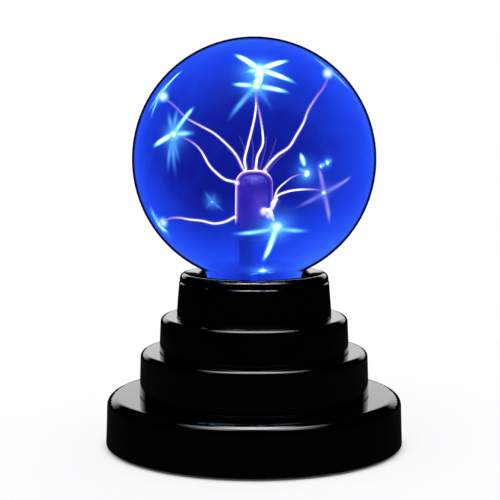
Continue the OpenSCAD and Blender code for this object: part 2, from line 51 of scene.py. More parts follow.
# Places and sizes of the CAD model, from the frame.
globe_low, globe_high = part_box("globe")
globe_r = (globe_high.x - globe_low.x) / 2
centre = Vector((0, 0, globe_high.z - globe_r))
tube_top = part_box("electrode_tube")[1].z
rim_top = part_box("collar_rim")[1].z

# Sizes that part.scad also has, which no box in the frame gives.
glass = 1.3 * MM
inner_r = globe_r - glass
neck_r = 15.2 * MM
neck_curve = 5 * MM
tube_r = 6 * MM


# Small helpers ---------------------------------------------------------------


def put(socket, value):
    """Links value to the socket if it is another node's output, and sets it otherwise."""
    if isinstance(value, bpy.types.NodeSocket):
        socket.id_data.links.new(value, socket)
    elif hasattr(socket.default_value, "__len__") and hasattr(value, "__len__"):
        wanted = len(socket.default_value)
        socket.default_value = (tuple(value) + (1.0,))[:wanted]
    else:
        socket.default_value = value


def node(tree, kind, inputs=None, **settings):
    """Adds a shader node with its settings, and its inputs by name or number."""
    made = tree.nodes.new("ShaderNode" + kind)
    for name, value in settings.items():
        setattr(made, name, value)
    for key, value in (inputs or {}).items():
        put(made.inputs[key], value)
    return made


def maths(tree, operation, a, b=0.0, clamp=False):
    return node(tree, "Math", {0: a, 1: b}, operation=operation, use_clamp=clamp).outputs[0]


def ramp(tree, value, stops, interpolation="LINEAR"):
    """Colour ramp through (position, colour) stops."""
    made = node(tree, "ValToRGB", {0: value})
    made.color_ramp.interpolation = interpolation
    points = made.color_ramp.elements
    while len(points) < len(stops):
        points.new(0.5)
    for point, (place, colour) in zip(points, stops):
        point.position = place
        point.color = (*colour, 1)
    return made.outputs[0]


def grey(*stops):
    return [(place, (value,) * 3) for place, value in stops]


def product(tree, first, *others):
    """All the values multiplied together."""
    for other in others:
        first = maths(tree, "MULTIPLY", first, other)
    return first


def own_place(tree):
    """Place in the object's own coordinates."""
    return node(tree, "TexCoord").outputs["Object"]


def own_axis(tree, axis):
    """Place along one of the object's own axes: X, Y or Z."""
    return node(tree, "SeparateXYZ", {0: own_place(tree)}).outputs[axis]


def noise(tree, scale, detail=3.0, roughness=0.5):
    """Noise in the object's own coordinates; scale is in cycles per metre."""
    inputs = {"Vector": own_place(tree), "Scale": scale, "Detail": detail, "Roughness": roughness}
    return node(tree, "TexNoise", inputs).outputs[0]


def bump(tree, height, depth, strength=1.0):
    return node(tree, "Bump", {"Height": height, "Distance": depth, "Strength": strength}).outputs[0]


def new_material(name, surface):
    """Material whose surface(tree) returns the shader socket to show."""
    made = bpy.data.materials.new(name)
    made.use_nodes = True
    tree = made.node_tree
    tree.nodes.clear()
    out = node(tree, "OutputMaterial")
    tree.links.new(surface(tree), out.inputs["Surface"])
    return made


def principled(tree, inputs):
    return node(tree, "BsdfPrincipled", inputs).outputs[0]


def glowing(tree, colour, strength):
    """Light alone: a black surface that shines."""
    return principled(
        tree,
        {
            "Base Color": (0, 0, 0),
            "Roughness": 1.0,
            "Specular IOR Level": 0.0,
            "Emission Color": colour,
            "Emission Strength": strength,
        },
    )


def mixed(tree, factor, first, second):
    return node(tree, "MixShader", {0: factor, 1: first, 2: second}).outputs[0]


def clear(tree, colour=(1, 1, 1)):
    return node(tree, "BsdfTransparent", {"Color": colour}).outputs[0]


def facing(tree):
    """0 where the surface is seen head on, 1 at its outline."""
    return node(tree, "LayerWeight", {"Blend": 0.5}).outputs["Facing"]


def dress(name, material):
    """Gives a CAD node its material, through its object's material slots."""
    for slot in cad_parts[name].material_slots:
        slot.material = material


def new_object(name, vertices, faces, material, values=None):
    """Smooth-shaded mesh object; values are per-vertex numbers by attribute name."""
    mesh = bpy.data.meshes.new(name)
    mesh.from_pydata([tuple(v) for v in vertices], [], faces)
    for attribute, numbers in (values or {}).items():
        made = mesh.attributes.new(attribute, "FLOAT", "POINT")
        made.data.foreach_set("value", numbers)
    mesh.materials.append(material)
    mesh.polygons.foreach_set("use_smooth", [True] * len(mesh.polygons))
    mesh.update()
    found = bpy.data.objects.new(name, mesh)
    scene.collection.objects.link(found)
    return found


def smooth_path(points, steps=8):
    """Catmull-Rom curve through the points."""
    points = [Vector(p) for p in points]
    ends = [2 * points[0] - points[1], *points, 2 * points[-1] - points[-2]]
    path = []
    for a, b, c, d in zip(ends, ends[1:], ends[2:], ends[3:]):
        for k in range(steps):
            t = k / steps
            path.append(
                0.5
                * (
                    2 * b
                    + (c - a) * t
                    + (2 * a - 5 * b + 4 * c - d) * t * t
                    + (3 * b - a - 3 * c + d) * t**3
                )
            )
    return [*path, points[-1]]


def tube(name, path, radius, material, sides=12, heat=None):
    """Round tube along a path. radius and heat are functions of the run from 0 to 1."""
    lengths = [0.0]
    for a, b in zip(path, path[1:]):
        lengths.append(lengths[-1] + (b - a).length)
    vertices, faces, heats = [], [], []
    side = None
    for i, point in enumerate(path):
        ahead = (path[min(i + 1, len(path) - 1)] - path[max(i - 1, 0)]).normalized()
        side = ahead.orthogonal() if side is None else side - ahead * side.dot(ahead)
        side.normalize()
        other = ahead.cross(side)
        run = lengths[i] / lengths[-1]
        for k in range(sides):
            angle = math.tau * k / sides
            vertices.append(
                point + radius(run) * (math.cos(angle) * side + math.sin(angle) * other)
            )
            heats.append(heat(run) if heat else 1.0)
    for i in range(len(path) - 1):
        for k in range(sides):
            a, b = i * sides + k, i * sides + (k + 1) % sides
            faces.append((a, b, b + sides, a + sides))
    last = (len(path) - 1) * sides
    faces.append(tuple(range(sides - 1, -1, -1)))
    faces.append(tuple(range(last, last + sides)))
    return new_object(name, vertices, faces, material, {"whiteness": heats} if heat else None)


def lathe(name, profile, material, turns=192, inward=False):
    """Surface turned about Z from (radius, height) points. inward turns its faces round."""
    vertices, faces = [], []
    rows = []
    for r, z in profile:
        if r == 0:
            rows.append([len(vertices)] * turns)
            vertices.append((0, 0, z))
        else:
            rows.append(list(range(len(vertices), len(vertices) + turns)))
            for k in range(turns):
                angle = math.tau * k / turns
                vertices.append((r * math.cos(angle), r * math.sin(angle), z))
    for low, high in zip(rows, rows[1:]):
        for k in range(turns):
            n = (k + 1) % turns
            corners = [low[k], low[n], high[n], high[k]]
            face = list(dict.fromkeys(corners))
            faces.append(face[::-1] if inward else face)
    return new_object(name, vertices, faces, material)


def arc(x, z, r, start, end, steps=16):
    """Points of an arc about (x, z), angles in degrees from +X."""
    angles = [math.radians(start + (end - start) * k / steps) for k in range(steps + 1)]
    return [(x + r * math.cos(a), z + r * math.sin(a)) for a in angles]


# Camera, floor and light -----------------------------------------------------


camera_place = (-1.3 * MM, -450 * MM, 110 * MM)
camera_tilt = 6.06
camera_lens = 103
camera_sensor = 36


def make_camera():
    """At the photograph's height, looking a little down on the ball."""
    data = bpy.data.cameras.new("camera")
    data.lens = camera_lens
    data.sensor_width = camera_sensor
    found = bpy.data.objects.new("camera", data)
    scene.collection.objects.link(found)
    found.location = camera_place
    found.rotation_euler = (math.radians(90 - camera_tilt), 0, 0)
    scene.camera = found


def soft_step(tree, value, low, high, start=0.0, end=1.0):
    """Smooth step from start at low to end at high."""
    limits = {"Value": value, "From Min": low, "From Max": high, "To Min": start, "To Max": end}
    return node(tree, "MapRange", limits, interpolation_type="SMOOTHSTEP").outputs[0]


foot_r = 45.5 * MM
floor_lit_r = 50 * MM
floor_fade = (0.1, 0.4)
floor_r = 0.42
floor_light = 0.78


def make_floor():
    """Pale disc that fades into the white surroundings, and gives off light beyond the base's foot. That
    light rises from nothing at the foot, so a ring of painted contact shadow lies round the base, over the
    real one.

    Mirrors see it dark, as with black flags round the set. It can't be seen from below, and it
    hides no light.
    """

    def surface(tree):
        rays = node(tree, "LightPath").outputs
        mirror = rays["Is Glossy Ray"]
        colour = ramp(tree, mirror, [(0, (0.93, 0.93, 0.94)), (1, (0.001, 0.001, 0.001))])
        pale = principled(tree, {"Base Color": colour, "Roughness": 0.9, "Specular IOR Level": 0.1})
        away = node(tree, "VectorMath", {0: own_place(tree)}, operation="LENGTH").outputs["Value"]
        white = glowing(tree, (1, 1, 1), 1.0)
        # Glow that rises outward from the foot: a painted contact shadow round the base.
        bright = soft_step(tree, away, foot_r, floor_lit_r, 0.0, floor_light)
        share = product(tree, bright, maths(tree, "SUBTRACT", 1.0, mirror))
        below = node(tree, "NewGeometry").outputs["Backfacing"]
        hidden = maths(tree, "MAXIMUM", below, rays["Is Diffuse Ray"])
        gone = maths(tree, "MAXIMUM", hidden, soft_step(tree, away, *floor_fade))
        return mixed(tree, gone, mixed(tree, share, pale, white), clear(tree))

    rings = [(0, 0), (0.1, 0), (0.25, 0), (floor_r, 0)]
    lathe("floor", rings, new_material("floor", surface), turns=64, inward=True)


backdrop_light = 1.4
softbox_light = 15.0
dark_light = 0.001
room_light = 0.97
camera_extra = 0.05


def make_world():
    """White studio. Mirrors see it bright low down behind, with a softbox overhead, and dark elsewhere."""
    world = bpy.data.worlds.new("studio")
    scene.world = world
    world.use_nodes = True
    tree = world.node_tree
    tree.nodes.clear()
    parts = node(tree, "SeparateXYZ", {0: node(tree, "TexCoord").outputs["Generated"]}).outputs
    behind = soft_step(tree, parts["Y"], 0.72, 0.92)
    above = soft_step(tree, parts["Z"], 0.122, 0.146)
    under = soft_step(tree, parts["Z"], 0.4, 0.3)
    backdrop = product(tree, above, under, behind, backdrop_light)
    middle = soft_step(tree, maths(tree, "ABSOLUTE", parts["X"]), 0.7, 0.05)
    overhead = soft_step(tree, parts["Z"], 0.4, 0.6)
    near = soft_step(tree, parts["Y"], 0.0, -0.12)
    far = soft_step(tree, parts["Y"], -0.6, -0.42)
    box = product(tree, middle, overhead)
    softbox = product(tree, box, product(tree, near, far), softbox_light)
    mirrored = maths(tree, "ADD", maths(tree, "ADD", backdrop, softbox), dark_light)
    rays = node(tree, "LightPath").outputs
    plain = maths(tree, "ADD", product(tree, rays["Is Camera Ray"], camera_extra), room_light)
    seen = node(tree, "MixRGB", {0: rays["Is Glossy Ray"], 1: plain, 2: mirrored}).outputs[0]
    light = node(tree, "Background", {"Color": (0.985, 0.985, 1.0), "Strength": seen})
    out = node(tree, "OutputWorld")
    tree.links.new(light.outputs[0], out.inputs[0])


lamp_size = 0.7
lamp_power = 1.5
lamp_target = Vector((0, 0, 50 * MM))


def make_lamp(name, place):
    """Soft area light aimed at the ball, which mirrors don't see."""
    data = bpy.data.lights.new(name, "AREA")
    data.shape = "DISK"
    data.size = lamp_size
    data.energy = lamp_power
    found = bpy.data.objects.new(name, data)
    scene.collection.objects.link(found)
    found.location = place
    found.rotation_euler = (Vector(place) - lamp_target).to_track_quat("Z", "Y").to_euler()
    found.visible_glossy = False


# Materials of the solid parts ------------------------------------------------


def gloss_black():
    """Mirror-gloss black moulding with a faint waviness."""

    def surface(tree):
        wave = noise(tree, 90, 2)
        fine = noise(tree, 1400, 4)
        darks = [(0.3, (0.0001, 0.0001, 0.0003)), (0.7, (0.0002, 0.0002, 0.0005))]
        rough = ramp(tree, fine, grey((0.3, 0.02), (0.7, 0.045)))
        return principled(
            tree,
            {
                "Base Color": ramp(tree, wave, darks),
                "Roughness": rough,
                "Normal": bump(tree, wave, 0.01 * MM, 0.3),
            },
        )

    return new_material("gloss_black", surface)


def textured(name, low, high, rough, grain, depth, metal=0.0):
    """Plain moulded or cast surface.

    It has two close colours, a roughness range and a grain of so many cycles per metre.
    """

    def surface(tree):
        cloud = noise(tree, grain / 12, 3)
        fine = noise(tree, grain, 5, 0.6)
        return principled(
            tree,
            {
                "Base Color": ramp(tree, cloud, [(0.3, low), (0.7, high)]),
                "Roughness": ramp(tree, fine, grey((0.3, rough[0]), (0.7, rough[1]))),
                "Metallic": metal,
                "Normal": bump(tree, fine, depth, 0.6),
            },
        )

    return new_material(name, surface)


def wound(name, low, high, pitch, rough):
    """Close-wound wire with its turns side by side along the winding's height."""

    def surface(tree):
        inputs = {"Vector": own_place(tree), "Scale": 0.31 / pitch, "Distortion": 0.4}
        wave = node(tree, "TexWave", inputs, bands_direction="Z").outputs["Fac"]
        return principled(
            tree,
            {
                "Base Color": ramp(tree, wave, [(0.1, low), (0.6, high)]),
                "Roughness": ramp(tree, noise(tree, 1500), grey((0.3, rough), (0.7, rough + 0.12))),
                "Metallic": 0.6,
                "Normal": bump(tree, wave, 0.15 * MM, 0.8),
            },
        )

    return new_material(name, surface)


def banded(name, stops, axis, low, high, rough, metal=0.0):
    """Colours that follow one another along an axis of the object, between two places on it."""

    def surface(tree):
        place = own_axis(tree, axis)
        run = node(tree, "MapRange", {"Value": place, "From Min": low, "From Max": high}).outputs[0]
        fine = noise(tree, 900, 4)
        return principled(
            tree,
            {
                "Base Color": ramp(tree, run, stops, "CONSTANT"),
                "Roughness": ramp(tree, fine, grey((0.3, rough), (0.7, rough + 0.1))),
                "Metallic": metal,
                "Normal": bump(tree, fine, 0.01 * MM, 0.4),
            },
        )

    return new_material(name, surface)


# Name: darker colour, lighter colour, roughness from and to, (grain per metre, its depth in mm,
# metal), nodes.
FINISHES = {
    "seal_foam": (
        (0.012, 0.012, 0.013),
        (0.03, 0.03, 0.032),
        (0.85, 0.98),
        (2600, 0.12, 0),
        ("neck_seal",),
    ),
    "spark_texture": (
        (0.011, 0.011, 0.012),
        (0.017, 0.017, 0.018),
        (0.42, 0.6),
        (3200, 0.03, 0),
        ("bottom_cover", "battery_door", "switch_knob"),
    ),
    "rubber": (
        (0.03, 0.03, 0.031),
        (0.055, 0.055, 0.056),
        (0.75, 0.92),
        (1800, 0.03, 0),
        ("rubber_feet",),
    ),
    "zinc": (
        (0.5, 0.5, 0.48),
        (0.68, 0.68, 0.66),
        (0.25, 0.42),
        (1500, 0.02, 1),
        ("cover_screws", "board_screws", "tier_screws"),
    ),
    "nickel": (
        (0.6, 0.57, 0.5),
        (0.74, 0.71, 0.64),
        (0.16, 0.32),
        (1200, 0.015, 1),
        ("battery_contacts", "jack_pin"),
    ),
    "phenolic": (
        (0.36, 0.19, 0.06),
        (0.5, 0.29, 0.11),
        (0.4, 0.58),
        (1400, 0.02, 0),
        ("driver_board",),
    ),
    "ferrite": (
        (0.02, 0.02, 0.022),
        (0.05, 0.048, 0.05),
        (0.38, 0.62),
        (1600, 0.03, 0),
        ("ferrite_core",),
    ),
    "nylon": (
        (0.6, 0.55, 0.42),
        (0.74, 0.7, 0.58),
        (0.4, 0.55),
        (900, 0.02, 0),
        ("coil_bobbin",),
    ),
    "moulded_epoxy": (
        (0.012, 0.012, 0.013),
        (0.025, 0.025, 0.027),
        (0.5, 0.68),
        (2500, 0.02, 0),
        ("power_transistor",),
    ),
    "mill_aluminium": (
        (0.6, 0.6, 0.62),
        (0.74, 0.74, 0.76),
        (0.25, 0.4),
        (700, 0.02, 1),
        ("heat_sink",),
    ),
    "dipped_epoxy": (
        (0.3, 0.03, 0.01),
        (0.42, 0.06, 0.02),
        (0.18, 0.34),
        (500, 0.08, 0),
        ("film_capacitors",),
    ),
    "red_vinyl": (
        (0.42, 0.008, 0.006),
        (0.6, 0.016, 0.012),
        (0.25, 0.4),
        (800, 0.02, 0),
        ("red_leads",),
    ),
    "black_vinyl": (
        (0.008, 0.008, 0.009),
        (0.018, 0.018, 0.019),
        (0.25, 0.4),
        (800, 0.02, 0),
        ("black_leads",),
    ),
    "socket_black": (
        (0.01, 0.01, 0.011),
        (0.018, 0.018, 0.019),
        (0.35, 0.5),
        (2000, 0.02, 0),
        ("jack_body",),
    ),
    "tinned_steel": (
        (0.5, 0.5, 0.49),
        (0.66, 0.66, 0.65),
        (0.22, 0.38),
        (900, 0.02, 1),
        ("switch_body",),
    ),
    "drawn_glass": (
        (0.05, 0.09, 0.3),
        (0.08, 0.13, 0.4),
        (0.04, 0.1),
        (300, 0.01, 0),
        ("exhaust_tip",),
    ),
}


def weave_with_painted_glow(name, low, high, grain, axis, start, end, dim, bright):
    """Dark surface inside the globe, with the globe's blue light on it painted in as its own glow, growing
    along an axis.
    """

    def surface(tree):
        place = own_axis(tree, axis)
        weave = noise(tree, grain, 4)
        return principled(
            tree,
            {
                "Base Color": ramp(tree, weave, [(0.3, low), (0.7, high)]),
                "Roughness": ramp(tree, weave, grey((0.3, 0.55), (0.7, 0.8))),
                # Painted blue glow standing in for the gas's light on this surface.
                "Emission Color": (0.011, 0.05, 0.74),
                "Emission Strength": soft_step(tree, place, start, end, dim, bright),
                "Normal": bump(tree, weave, 0.1 * MM, 0.5),
            },
        )

    return new_material(name, surface)


def dress_the_rest():
    """Finishes of every solid part apart from the glass, the wire and the gloss-black mouldings, with
    painted blue glow on the high-voltage sleeve and lead.
    """
    # Painted glow: lighter towards +X across the sleeve, and growing from 42 to 46 mm up the lead.
    across = ("X", -2.5 * MM, 2.5 * MM, 0.25, 0.8)
    upward = ("Z", 42 * MM, 46 * MM, 0.0, 0.8)
    dress("hv_sleeve", weave_with_painted_glow("woven_sleeve", (0.004, 0.012, 0.12), (0.008, 0.024, 0.2), 1600, *across))
    dress("hv_lead", weave_with_painted_glow("silicone", (0.02, 0.035, 0.12), (0.04, 0.06, 0.2), 900, *upward))
    for name, (low, high, rough, (grain, depth, metal), nodes) in FINISHES.items():
        made = textured(name, low, high, rough, grain, depth * MM, metal)
        for found in nodes:
            dress(found, made)
    copper = wound("enamelled_copper", (0.22, 0.05, 0.012), (0.6, 0.2, 0.06), 0.5 * MM, 0.25)
    dress("primary_winding", copper)
    tape = wound("coil_tape", (0.55, 0.3, 0.02), (0.72, 0.43, 0.05), 1.6 * MM, 0.2)
    dress("secondary_winding", tape)
    sleeve = [(0.0, (0.004, 0.01, 0.09)), (0.96, (0.6, 0.6, 0.62))]
    dress("supply_capacitor", banded("capacitor_sleeve", sleeve, "Z", 19.2 * MM, 30.2 * MM, 0.22))
    diode = [(0.0, (0.012, 0.012, 0.013)), (0.7, (0.55, 0.55, 0.55)), (0.82, (0.012, 0.012, 0.013))]
    dress("diodes", banded("diode_body", diode, "X", -9 * MM, -3.8 * MM, 0.4))
    tan = (0.62, 0.44, 0.25)
    brown = (0.13, 0.035, 0.012)
    red = (0.5, 0.02, 0.01)
    gold = (0.5, 0.3, 0.06)
    bands = [(0.0, tan), (0.12, brown), (0.2, tan), (0.36, red), (0.44, tan), (0.78, gold), (0.86, tan)]
    dress("resistors", banded("resistor_body", bands, "X", 0, 17 * MM, 0.35))


# Battery cells and springs ---------------------------------------------------

cell_pitch = 10.9 * MM
cell_y = -5.5 * MM
cell_z = 8.2 * MM
cell_r = 5.2 * MM
cell_l = 44.5 * MM
cell_count = 4
bay_half = 25 * MM
contact_gap = 0.45 * MM
spring_turns = 3.5
spring_steps = 126
spring_wire_r = 0.35 * MM


def make_cells():
    """Four cells, every other one the other way round, each pressed to its contact by a spring."""
    jacket = [
        (0.0, (0.55, 0.54, 0.52)),
        (0.025, (0.012, 0.012, 0.014)),
        (0.66, (0.5, 0.2, 0.06)),
        (0.965, (0.55, 0.54, 0.52)),
    ]
    film = banded("cell_jacket", jacket, "Z", -cell_l / 2, cell_l / 2, 0.22, metal=0.75)
    silver, pale_silver = (0.6, 0.57, 0.5), (0.74, 0.71, 0.64)
    nickel = textured("spring_wire", silver, pale_silver, (0.16, 0.3), 1200, 0.01 * MM, 1.0)
    low, high = -cell_l / 2, cell_l / 2
    shoulder = high - 1 * MM
    edge = 0.3 * MM
    profile = [
        (0, low),
        (3.6 * MM, low),
        (3.8 * MM, low + 0.12 * MM),
        (4.3 * MM, low + 0.12 * MM),
        *arc(cell_r - edge, low + edge, edge, -90, 0, 5),
        *arc(cell_r - edge, shoulder - edge, edge, 0, 90, 5),
        (4.2 * MM, shoulder - 0.15 * MM),
        (2.7 * MM, shoulder),
        *arc(2.6 * MM - edge, high - edge, edge, 0, 90, 4),
        (0, high),
    ]
    for i in range(cell_count):
        way = 1 if i % 2 == 0 else -1
        x = (i - (cell_count - 1) / 2) * cell_pitch
        cell = lathe(f"battery_cell_{i + 1}", profile, film, turns=48)
        cell.location = (x, cell_y + way * (bay_half - contact_gap - cell_l / 2), cell_z)
        cell.rotation_euler = (math.radians(-90 * way), 0, 0)
        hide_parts("battery_cells")
        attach(cell, "base")
        start, finish = -bay_half + 0.85 * MM, bay_half - 2 * contact_gap - cell_l
        path = []
        for k in range(spring_steps + 1):
            t = k / spring_steps
            a = math.tau * spring_turns * t
            r = (3.4 - 1.6 * t) * MM
            along = start + (finish - start) * t
            path.append(Vector((x + way * r * math.cos(a), cell_y + way * along, cell_z + r * math.sin(a))))
        spring = tube(f"battery_spring_{i + 1}", path, lambda run: spring_wire_r, nickel, 10)
        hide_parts("battery_springs")
        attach(spring, "base")


# The lit gas -----------------------------------------------------------------

GAS_STOPS = [
    (0.0, (0.0055, 0.0095, 0.29)),
    (0.1, (0.0068, 0.015, 0.38)),
    (0.22, (0.0095, 0.034, 0.57)),
    (0.4, (0.0130, 0.054, 0.83)),
    (0.6, (0.0190, 0.075, 0.97)),
    (0.8, (0.0300, 0.115, 1.0)),
    (1.0, (0.0500, 0.180, 1.0)),
]


# Middle of the darker part of the gas.
HOLLOW = (-14 * MM, 0, 86 * MM)


def gas_colour(tree):
    """Deep blue, brighter towards the outline, in slow clouds and fine mottling."""
    clouds = product(tree, noise(tree, 45, 2, 0.5), 0.5)
    mottle = product(tree, noise(tree, 260, 3, 0.6), 0.2)
    shift = maths(tree, "SUBTRACT", maths(tree, "ADD", clouds, mottle), 0.37)
    low = soft_step(tree, own_axis(tree, "Z"), 78 * MM, 56 * MM, 0.0, 0.24)
    ends = {0: own_place(tree), 1: HOLLOW}
    hollow = node(tree, "VectorMath", ends, operation="DISTANCE").outputs["Value"]
    dark = soft_step(tree, hollow, 42 * MM, 30 * MM, 0.0, -0.12)
    outline = maths(tree, "ADD", facing(tree), shift)
    total = maths(tree, "ADD", outline, maths(tree, "ADD", low, dark), clamp=True)
    return ramp(tree, total, GAS_STOPS, "B_SPLINE")


def far_gas():
    """Glow of the far wall: solid blue from inside, nothing from outside."""

    def surface(tree):
        outside = node(tree, "NewGeometry").outputs["Backfacing"]
        return mixed(tree, outside, glowing(tree, gas_colour(tree), 0.85), clear(tree))

    made = new_material("far_gas", surface)
    made.use_backface_culling = True
    return made


def near_gas():
    """Thin glow of the near wall, seen only from outside."""

    def surface(tree):
        inside = node(tree, "NewGeometry").outputs["Backfacing"]
        film = mixed(tree, 0.25, clear(tree), glowing(tree, gas_colour(tree), 1.25))
        return mixed(tree, inside, film, clear(tree))

    made = new_material("near_gas", surface)
    made.use_backface_culling = True
    return made


def outer_face(tree):
    """1 on the outer face of the globe's wall, 0 on its inner face.

    A face's normal is turned round where it is seen from behind, so that case is turned back.
    """
    sides = node(tree, "NewGeometry").outputs
    ends = {0: own_place(tree), 1: tuple(centre)}
    away = node(tree, "VectorMath", ends, operation="SUBTRACT").outputs["Vector"]
    pair = {0: sides["True Normal"], 1: away}
    lean = node(tree, "VectorMath", pair, operation="DOT_PRODUCT").outputs["Value"]
    outward = maths(tree, "GREATER_THAN", lean, 0.0)
    return maths(tree, "ABSOLUTE", maths(tree, "SUBTRACT", outward, sides["Backfacing"]))


def globe_glass():
    """The globe's wall. The inner face is clear, so that light crosses it untouched.

    The outer face is clear too, with weak soft reflections, but where it is seen edge on it has a painted
    dark-blue shade.
    """

    def surface(tree):
        edge = facing(tree)
        shine = node(tree, "BsdfGlossy", {"Color": (0.75, 0.86, 1.0), "Roughness": 0.12}).outputs[0]
        share = ramp(tree, edge, grey((0.0, 0.0006), (0.5, 0.0012), (0.8, 0.012)))
        body = mixed(tree, share, clear(tree), shine)
        # Painted dark-blue shade for the globe's outline, where its outer face is seen edge on.
        rim = {"Base Color": (0.0003, 0.001, 0.04), "Roughness": 1.0, "Specular IOR Level": 0.0}
        outside = mixed(tree, soft_step(tree, edge, 0.76, 0.84), body, principled(tree, rim))
        return mixed(tree, outer_face(tree), clear(tree, (0.97, 0.98, 1.0)), outside)

    return new_material("globe_glass", surface)


CORE_STOPS = [
    (0.0, (0.5, 0.17, 0.95)),
    (0.35, (0.5, 0.3, 1.0)),
    (0.7, (0.85, 0.72, 1.0)),
    (1.0, (1.0, 0.97, 1.0)),
]


def streamer_core():
    """White-hot where its attribute whiteness is 1, violet and fainter where it is 0."""

    def surface(tree):
        heat = node(tree, "Attribute", attribute_name="whiteness").outputs["Fac"]
        colour = ramp(tree, heat, CORE_STOPS)
        strength = ramp(tree, heat, grey((0.0, 0.75), (0.4, 0.95), (0.75, 1.1), (1.0, 1.6)))
        share = ramp(tree, heat, grey((0.0, 0.7), (0.4, 0.9), (0.7, 1.0)))
        light = glowing(tree, colour, strength)
        return mixed(tree, share, clear(tree), light)

    return new_material("streamer_core", surface)


def streamer_haze():
    """Soft violet glow round a streamer."""

    def surface(tree):
        middle = maths(tree, "SUBTRACT", 1.0, facing(tree))
        thick = maths(tree, "POWER", middle, 2.5)
        return mixed(tree, product(tree, thick, 0.2), clear(tree), glowing(tree, (0.22, 0.18, 1.0), 1.3))

    return new_material("streamer_haze", surface)


def star_material(name, stops, power):
    """Glow on the glass where a streamer lands: clear where its attribute glow is 0, white where it is 1."""

    def surface(tree):
        glow = node(tree, "Attribute", attribute_name="glow").outputs["Fac"]
        share = maths(tree, "POWER", maths(tree, "MULTIPLY", glow, 1.7, clamp=True), 1.2)
        strength = ramp(tree, glow, grey((0.0, 0.25), (0.5, 0.5), (1.0, 1.0)))
        light = glowing(tree, ramp(tree, glow, stops), product(tree, strength, power))
        return mixed(tree, share, clear(tree), light)

    return new_material(name, surface)


def streamer_end(name):
    """Direction from the globe's centre to where a streamer ends."""
    return Vector(STREAMERS[name][0][-1]).normalized()


def on_glass(azimuth, elevation, r):
    """Point at that radius from the globe's centre. Azimuth 0 faces the viewer, 90 is the viewer's right."""
    a, e = math.radians(azimuth), math.radians(elevation)
    return Vector((math.sin(a) * math.cos(e), -math.cos(a) * math.cos(e), math.sin(e))) * r


def along_glass(start, heading, distance, r):
    """Point on the sphere of radius r about the centre, that far from start.

    heading is in degrees clockwise from up, seen from outside.
    """
    out = start.normalized()
    up = (Vector((0, 0, 1)) - out * out.z).normalized()
    right = up.cross(out)
    a = math.radians(heading)
    way = math.cos(a) * up + math.sin(a) * right
    turn = distance / r
    return (math.cos(turn) * out + math.sin(turn) * way) * r


def star(name, middle, core, halo, rays, material):
    """Light on the inside of the glass, as open sheets with a glow per vertex.

    middle is its direction from the globe's centre and core the radius in mm of its white middle. halo is
    (radius in mm, brightness) of the blue round it, and rays are (heading, length in mm, brightness, run
    at which the ray is brightest).
    """
    vertices, faces, glows = [], [], []
    in_front = middle.y < 0.1
    towards = 1 if in_front else -1

    def level(number):
        """Sheets lie 0.03 mm apart, later ones nearer to the viewer."""
        return inner_r + (0.03 * towards * number - 0.3) * MM

    def sheet(rows, columns, place, glow):
        first = len(vertices)
        for i in range(rows + 1):
            for k in range(columns + 1):
                vertices.append(centre + place(i / rows, k / columns))
                glows.append(glow(i / rows, k / columns))
        for i in range(rows):
            for k in range(columns):
                a = first + i * (columns + 1) + k
                faces.append((a, a + 1, a + columns + 2, a + columns + 1))

    def disc(size, bright, power, r):
        sheet(
            12,
            40,
            lambda i, k: along_glass(middle, 360 * k, i * size * MM, r),
            lambda i, k: bright * (1 - i) ** power,
        )

    def ray(heading, length, bright, peak, r):
        wide = (1.6 + 0.4 * core) * MM

        def place(i, k):
            across = (2 * k - 1) * wide * (1.1 - 0.55 * i)
            spine = along_glass(middle, heading, 1.12 * length * i * MM, r)
            ahead = along_glass(middle, heading, (1.12 * length * i + 0.1) * MM, r)
            side = (ahead - spine).cross(spine).normalized()
            return (spine + side * across).normalized() * r

        def glow(i, k):
            across = 2 * k - 1
            rise = min(1.0, 0.8 + 0.2 * i / max(peak, 0.01))
            fall = 1 - max(0.0, (i - peak) / (1 - peak)) ** 1.4
            return 1.05 * bright * rise * fall * (1 - across * across) ** 3.4

        sheet(24, 10, place, glow)

    disc(halo[0], halo[1] * 1.35, 1.6, level(-2))
    disc(core * 3.6, 0.7, 1.6, level(-1))
    disc(core * 1.6, 1.5, 1.1, level(0))
    for number, values in enumerate(rays):
        ray(*values, level(number + 1))
    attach(new_object(name, vertices, faces, material, {"glow": glows}), "base")


def just_inside(middle, depth):
    """Point in mm from the globe's centre, that deep inside the glass.

    It is moved in straight back from the viewer where it can be, so that it still covers the star.
    """
    place = middle * (inner_r / MM - 0.3)
    wanted = inner_r / MM - depth
    across = Vector((place.x, place.z)).length
    if across > wanted - 1:
        return place.normalized() * wanted
    place.y = math.copysign(math.sqrt(wanted * wanted - across * across), place.y)
    return place


def glow_ball(name, place, size, material):
    """Soft ball of light, its centre in millimetres from the globe's centre."""
    ball = lathe(name, arc(0, 0, size * MM, -90, 90, 16), material, turns=24)
    ball.location = centre + Vector(place) * MM
    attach(ball, "base")


def streamer(name, points, fade, width, core, haze):
    """Thread of light through points in mm from the globe's centre, white up to the run called fade."""
    path = smooth_path([centre + Vector(p) * MM for p in points])

    def heat(run):
        return 1.0 if run < fade else max(0.0, 1 - (run - fade) / (1 - fade) * 1.1)

    thin = tube(name, path, lambda run: width * (0.33 - 0.12 * run) * MM, core, heat=heat)
    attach(thin, "base")
    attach(tube(name + "_haze", path, lambda run: width * (0.95 - 0.4 * run) * MM, haze, 16), "base")


